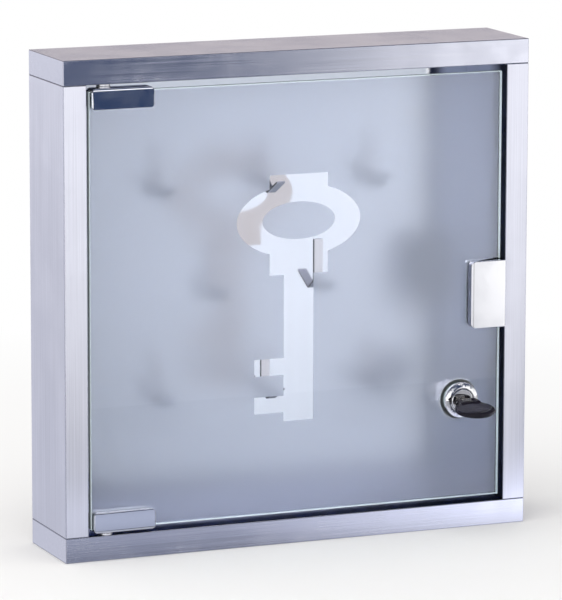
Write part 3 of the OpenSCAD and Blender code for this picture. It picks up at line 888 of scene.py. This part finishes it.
class KEYCAB_OT_hooks(bpy.types.Operator):
    """Make the key hooks, one bent strip repeated in three rows"""

    bl_idname = "keycab.hooks"
    bl_label = "Key Hooks"

    def execute(self, context):
        sizes = settings()[0]
        mat = hook_steel("hook_strip_steel", (0.66, 0.64, 0.66))
        # Painted shade: the strip's sides get a near-black copy of the steel, and the faces of its
        # bends a dark bluish copy.
        cut = metal("hook_cut_edge", (0.06, 0.06, 0.07), 0.4, even(900.0), 0.2)
        bend = hook_steel("hook_bend_steel", (0.20, 0.21, 0.25))
        low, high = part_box("key_hook_4")
        middle = Vector(((low.x + high.x) / 2, 0.0, 0.0))
        base = linked("hook_strip", self.strip(low - middle, high - middle, sizes.hook_bend))
        tree = self.rows(mat)
        repeat = base.modifiers.new("hook_rows", "NODES")
        repeat.node_group = tree
        names = {
            item.name: item.identifier for item in tree.interface.items_tree
            if item.in_out == "INPUT"
        }
        repeat[names["Column Pitch"]] = sizes.column_pitch
        repeat[names["Row Pitch"]] = sizes.row_pitch
        repeat[names["Long Row"]] = sizes.long_row
        whole = evaluated(base)
        whole.name = "key_hooks"
        bpy.data.objects.remove(base)
        nodes = [f"key_hook_{i}" for i in range(1, 9)]
        made = piece("key_hooks", whole, "cabinet", [mat, cut, bend], nodes)
        # The sides take the near-black painted shade, the bent faces the dark bluish painted shade,
        # and the rest the plain strip steel.
        for face in made.data.polygons:
            bent = abs(face.normal.z) > 0.3
            face.material_index = 1 if abs(face.normal.x) > 0.7 else 2 if bent else 0
        rounded(made, HOOK_EDGE, 2, 40.0)
        return {"FINISHED"}

    def strip(self, low, high, bend):
        """One hook: a leg on the panel, a crook under it and a tip that rises to the front."""
        half = HOOK_THICKNESS / 2
        back = high.y - half
        foot = high.z - half - HOOK_LEG
        line = [
            Vector((back, high.z - half)), Vector((back, foot)),
            Vector((high.y - HOOK_CROOK, low.z + half)),
            Vector((low.y + half, foot + HOOK_TIP_RISE)),
        ]
        path = [line[0]]
        for a, b, c in zip(line, line[1:], line[2:]):
            start = b + (a - b).normalized() * bend
            end = b + (c - b).normalized() * bend
            for k in range(CORNER_STEPS + 1):
                s = k / CORNER_STEPS
                path.append(start * (1 - s) ** 2 + b * 2 * s * (1 - s) + end * s ** 2)
        path.append(line[-1])
        bm = bmesh.new()
        rings = []
        for k, p in enumerate(path):
            before, after = path[max(k - 1, 0)], path[min(k + 1, len(path) - 1)]
            way = (after - before).normalized()
            side = Vector((-way.y, way.x)) * HOOK_THICKNESS / 2
            corners = ((p + side, low.x), (p + side, high.x), (p - side, high.x), (p - side, low.x))
            rings.append([bm.verts.new((x, q.x, q.y)) for q, x in corners])
        for a, b in zip(rings, rings[1:]):
            for k in range(4):
                n = (k + 1) % 4
                bm.faces.new((a[k], a[n], b[n], b[k]))
        bm.faces.new(rings[0])
        bm.faces.new(rings[-1])
        bmesh.ops.recalc_face_normals(bm, faces=bm.faces)
        return mesh_from(bm, "hook_strip")

    def rows(self, mat):
        """Copies the strip to a long row, a short row between its columns, and a long row."""
        tree = bpy.data.node_groups.new("hook_rows", "GeometryNodeTree")
        sockets = tree.interface
        for label, kind in (("Geometry", "NodeSocketGeometry"), ("Column Pitch", "NodeSocketFloat"),
                            ("Row Pitch", "NodeSocketFloat"), ("Long Row", "NodeSocketInt")):
            sockets.new_socket(label, in_out="INPUT", socket_type=kind)
        sockets.new_socket("Geometry", in_out="OUTPUT", socket_type="NodeSocketGeometry")
        start = tree.nodes.new("NodeGroupInput").outputs
        end = tree.nodes.new("NodeGroupOutput")
        pitch = start["Column Pitch"]
        joined = tree.nodes.new("GeometryNodeJoinGeometry")
        for up in (1.0, 0.0, -1.0):
            count = start["Long Row"] if up else math_node(tree, "SUBTRACT", start["Long Row"], 1.0)
            gaps = math_node(tree, "SUBTRACT", count, 1.0)
            first = product(tree, gaps, pitch, -0.5)
            height = product(tree, start["Row Pitch"], up)
            place = add(tree, "ShaderNodeCombineXYZ", {0: first, 2: height})
            step = add(tree, "ShaderNodeCombineXYZ", {0: pitch})
            row = add(tree, "GeometryNodeMeshLine", {
                "Count": count, "Start Location": place.outputs[0], "Offset": step.outputs[0],
            })
            tree.links.new(row.outputs[0], joined.inputs[0])
        copies = add(tree, "GeometryNodeInstanceOnPoints", {
            "Points": joined.outputs[0], "Instance": start["Geometry"],
        })
        real = add(tree, "GeometryNodeRealizeInstances", {0: copies.outputs[0]})
        painted = add(tree, "GeometryNodeSetMaterial", {
            "Geometry": real.outputs[0], "Material": mat,
        })
        tree.links.new(painted.outputs[0], end.inputs[0])
        return tree


class KEYCAB_OT_pivots(bpy.types.Operator):
    """Make the pivot bushes, washers and pins"""

    bl_idname = "keycab.pivots"
    bl_label = "Pivots"

    def execute(self, context):
        width = settings()[0].turned_edge
        for node in ("top_pivot_bush", "bottom_pivot_bush"):
            refined(node, "cabinet", satin(), width, 2)
        refined("pivot_washers", "door", satin(), width, 2)
        for node in ("top_pivot_pin", "bottom_pivot_pin"):
            refined(node, "door", zinc(), width, 2)
        return {"FINISHED"}


class KEYCAB_OT_catch(bpy.types.Operator):
    """Make the magnetic catch"""

    bl_idname = "keycab.catch"
    bl_label = "Magnetic Catch"

    def execute(self, context):
        width = settings()[0].turned_edge
        plastic = moulded("catch_plastic", (0.30, 0.31, 0.33), 0.5)
        ferrite = moulded("sintered_ferrite", (0.05, 0.05, 0.055), 0.7, swing=0.2)
        refined("catch_housing", "cabinet", plastic, 3 * width)
        refined("catch_magnet", "cabinet", ferrite, width)
        refined("catch_pole_plates", "cabinet", zinc(), width)
        refined("catch_screws", "cabinet", zinc(), width, 2)
        return {"FINISHED"}


class KEYCAB_OT_glass(bpy.types.Operator):
    """Make the glass pane with ground and chamfered edges"""

    bl_idname = "keycab.glass"
    bl_label = "Glass Pane"

    def execute(self, context):
        chamfer = settings()[0].glass_chamfer
        made = refined("glass_pane", "door", clear_glass(), chamfer, 1, 40.0)
        made.data.materials.append(ground_glass())
        for face in made.data.polygons:
            face.material_index = 0 if abs(face.normal.y) > 0.9 else 1
            face.use_smooth = abs(face.normal.y) < 0.9
        made.modifiers["rounded_edges"].material = 1
        return {"FINISHED"}


class KEYCAB_OT_film(bpy.types.Operator):
    """Make the frosted film with the key figure left clear"""

    bl_idname = "keycab.film"
    bl_label = "Frosted Film"

    def execute(self, context):
        node = "frosted_film"
        bm = cad_copy(node)
        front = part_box(node)[0].y
        for v in bm.verts:
            if v.co.y < front + 1e-6:
                v.co.y += settings()[0].film_gap
        mesh = mesh_from(bm, node + "_finished")
        mats = [frosting(), film_face()]
        made = piece(node + "_finished", mesh, "door", mats, [node])
        for face in made.data.polygons:
            face.use_smooth = False
            face.material_index = 1 if face.normal.y < -0.9 else 0
        return {"FINISHED"}


class KEYCAB_OT_clamps(bpy.types.Operator):
    """Make the hinge clamps and their pads"""

    bl_idname = "keycab.clamps"
    bl_label = "Hinge Clamps"

    def execute(self, context):
        sizes = settings()[0]
        for node in ("top_hinge_clamp", "bottom_hinge_clamp"):
            refined(node, "door", polished_steel(), sizes.clamp_edge,
                    corner=sizes.clamp_corner)
        refined("hinge_pads", "door", rubber(), SOFT_EDGE, 2)
        return {"FINISHED"}


class KEYCAB_OT_grub_screws(bpy.types.Operator):
    """Make the grub screws of the clamps and the handle"""

    bl_idname = "keycab.grub_screws"
    bl_label = "Grub Screws"

    def execute(self, context):
        for node in ("hinge_grub_screws", "handle_grub_screws"):
            refined(node, "door", zinc(), settings()[0].turned_edge, 2)
        return {"FINISHED"}


class KEYCAB_OT_handle(bpy.types.Operator):
    """Make the clip handle and its pads"""

    bl_idname = "keycab.handle"
    bl_label = "Handle"

    def execute(self, context):
        sizes = settings()[0]
        clip = refined("handle_clip", "door", chrome(), sizes.handle_edge, 4,
                       corner=sizes.handle_corner)
        # Painted shade: the clip's left side gets a dark bluish metal instead of the chrome.
        side = metal("satin_handle_side", (0.24, 0.25, 0.31), 0.3, even(900.0), 0.06)
        clip.data.materials.append(side)
        for face in clip.data.polygons:
            face.material_index = int(face.normal.x < -0.9)
        refined("handle_pads", "door", rubber(), SOFT_EDGE, 2)
        return {"FINISHED"}


class KEYCAB_OT_lock(bpy.types.Operator):
    """Make the cam lock: barrel, plug, seals, nut and wafers"""

    bl_idname = "keycab.lock"
    bl_label = "Cam Lock"

    def execute(self, context):
        width = settings()[0].turned_edge
        gasket = moulded("gasket_rubber", (0.10, 0.105, 0.12), 0.7)
        nylon = moulded("washer_nylon", (0.85, 0.85, 0.82), 0.45)
        refined("lock_body", "door", chrome(), width, 2)
        refined("lock_plug", "lock_cylinder", chrome(), width, 2)
        refined("lock_nut", "door", zinc(), 3 * width)
        refined("lock_gasket", "door", gasket, SOFT_EDGE, 2)
        refined("lock_washer", "door", nylon, NYLON_EDGE, 2)
        dressed("lock_wafers", key_brass())
        return {"FINISHED"}


class KEYCAB_OT_cam(bpy.types.Operator):
    """Make the cam with its washer and screw"""

    bl_idname = "keycab.cam"
    bl_label = "Cam"

    def execute(self, context):
        width = settings()[0].turned_edge
        for node in ("lock_cam", "cam_washer", "cam_screw"):
            refined(node, "lock_cylinder", zinc(), width, 2)
        return {"FINISHED"}


class KEYCAB_OT_key(bpy.types.Operator):
    """Make the folding key: blade, hinge pin and head"""

    bl_idname = "keycab.key"
    bl_label = "Key"

    def execute(self, context):
        sizes, colours, _ = settings()
        refined("key_blade", "key", key_brass(), sizes.turned_edge, 2)
        refined("key_hinge_pin", "key", zinc(), sizes.turned_edge, 2)
        black = moulded("key_head_plastic", colours.plastic, 0.1, grain=420.0, depth=0.00012,
                        coat=0.12, specular=0.1)
        refined("key_head", "key_bow", black, sizes.head_edge, 4, 50.0)
        return {"FINISHED"}


STEPS = (
    KEYCAB_OT_stage, KEYCAB_OT_profiles, KEYCAB_OT_back_panel, KEYCAB_OT_hooks, KEYCAB_OT_pivots,
    KEYCAB_OT_catch, KEYCAB_OT_glass, KEYCAB_OT_film, KEYCAB_OT_clamps, KEYCAB_OT_grub_screws,
    KEYCAB_OT_handle, KEYCAB_OT_lock, KEYCAB_OT_cam, KEYCAB_OT_key,
)


class KEYCAB_PT_panel(bpy.types.Panel):
    """Key cabinet"""

    bl_idname = "KEYCAB_PT_panel"
    bl_label = "Key Cabinet"
    bl_space_type = "VIEW_3D"
    bl_region_type = "UI"
    bl_category = "Key Cabinet"

    def draw(self, context):
        layout = self.layout
        for settings_group in settings():
            box = layout.box()
            for name in settings_group.__annotations__:
                box.prop(settings_group, name)
        for step in STEPS:
            layout.operator(step.bl_idname)


CLASSES = (CabinetSizes, CabinetColours, StudioSettings, *STEPS, KEYCAB_PT_panel)


def register():
    for cls in CLASSES:
        bpy.utils.register_class(cls)
    bpy.types.Scene.cabinet_sizes = PointerProperty(type=CabinetSizes)
    bpy.types.Scene.cabinet_colours = PointerProperty(type=CabinetColours)
    bpy.types.Scene.cabinet_studio = PointerProperty(type=StudioSettings)


def unregister():
    del bpy.types.Scene.cabinet_sizes
    del bpy.types.Scene.cabinet_colours
    del bpy.types.Scene.cabinet_studio
    for cls in reversed(CLASSES):
        bpy.utils.unregister_class(cls)


def main():
    register()
    for step in STEPS:
        family, name = step.bl_idname.split(".")
        getattr(getattr(bpy.ops, family), name)()


if __name__ == "__main__":
    main()
